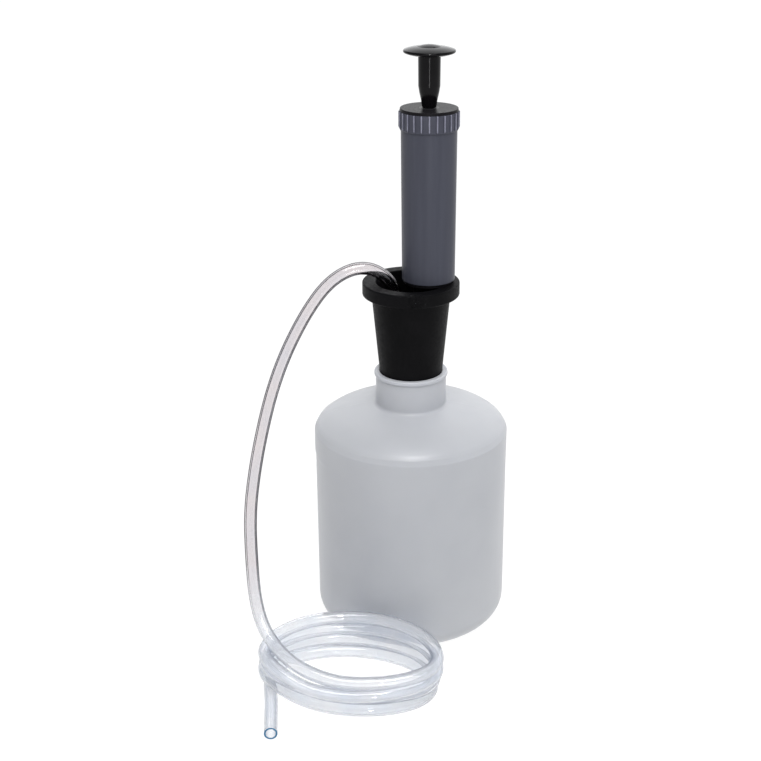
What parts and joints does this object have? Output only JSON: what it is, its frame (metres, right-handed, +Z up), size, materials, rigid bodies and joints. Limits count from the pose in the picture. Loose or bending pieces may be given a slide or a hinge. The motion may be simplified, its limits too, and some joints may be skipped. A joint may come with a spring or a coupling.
{
  "type": "fluid transfer pump",
  "caption": "Hand plunger suction pump standing in a tapered black stopper on a white bottle, with a clear hose that leads down from the stopper into a coil on the floor.",
  "frame": {"origin": "centre of the bottle's foot, on the floor that the bottle stands on", "axes": "+Z up along the bottle and the pump, +X towards the side of the stopper that holds the pump, -Y towards the front, where the hose lies coiled"},
  "size_m": [0.1647, 0.2132, 0.3766],
  "materials": {
    "bottle": "natural white blow-moulded polyethylene, faintly grainy and slightly translucent",
    "stopper": "black moulded rubber, satin, with a grey sheen on the flange",
    "hose": "clear soft vinyl tube, glossy",
    "fitting": "black moulded nylon",
    "barrel": "slate grey moulded plastic, satin, with faint vertical draw lines",
    "collar": "slate grey moulded plastic, a little lighter than the barrel",
    "black_plastic": "black moulded plastic, semi-gloss",
    "knob": "black moulded plastic, semi-gloss, worn to a soft sheen on top",
    "seal": "black nitrile rubber",
    "valve": "red-brown silicone rubber",
    "bush": "black acetal",
    "steel": "zinc-plated steel"
  },
  "bodies": {
    "stand": {"bottle": "bottle", "stopper": "stopper", "hose_fitting": "fitting", "hose_riser": "hose", "hose_coil": "hose", "hose_end": "hose", "pump_barrel": "barrel", "collar_ring": "collar", "guide_cap": "black_plastic", "rod_bush": "bush", "bumper_ring": "seal", "base_plug": "black_plastic", "plug_seal_ring": "seal", "valve_cage": "black_plastic"},
    "piston_seal": {"piston_cup": "seal"},
    "plunger": {"piston_rod": "black_plastic", "piston": "black_plastic", "piston_washer": "steel", "piston_nut": "steel", "knob": "knob", "knob_insert": "knob", "knob_screw": "steel"},
    "inlet_valve": {"valve_disc": "valve"}
  },
  "joints": [
    {"name": "plunger_slide", "type": "slide", "parent": "stand", "child": "piston_seal", "axis": [0, 0, 1], "range_m": [0, 0.075]},
    {"name": "plunger_turn", "type": "hinge", "parent": "piston_seal", "child": "plunger", "pos_m": [0.0108, 0, 0.3], "axis": [0, 0, 1], "continuous": true},
    {"name": "valve_lift", "type": "slide", "parent": "stand", "child": "inlet_valve", "axis": [0, 0, 1], "range_m": [0, 0.001]}
  ]
}
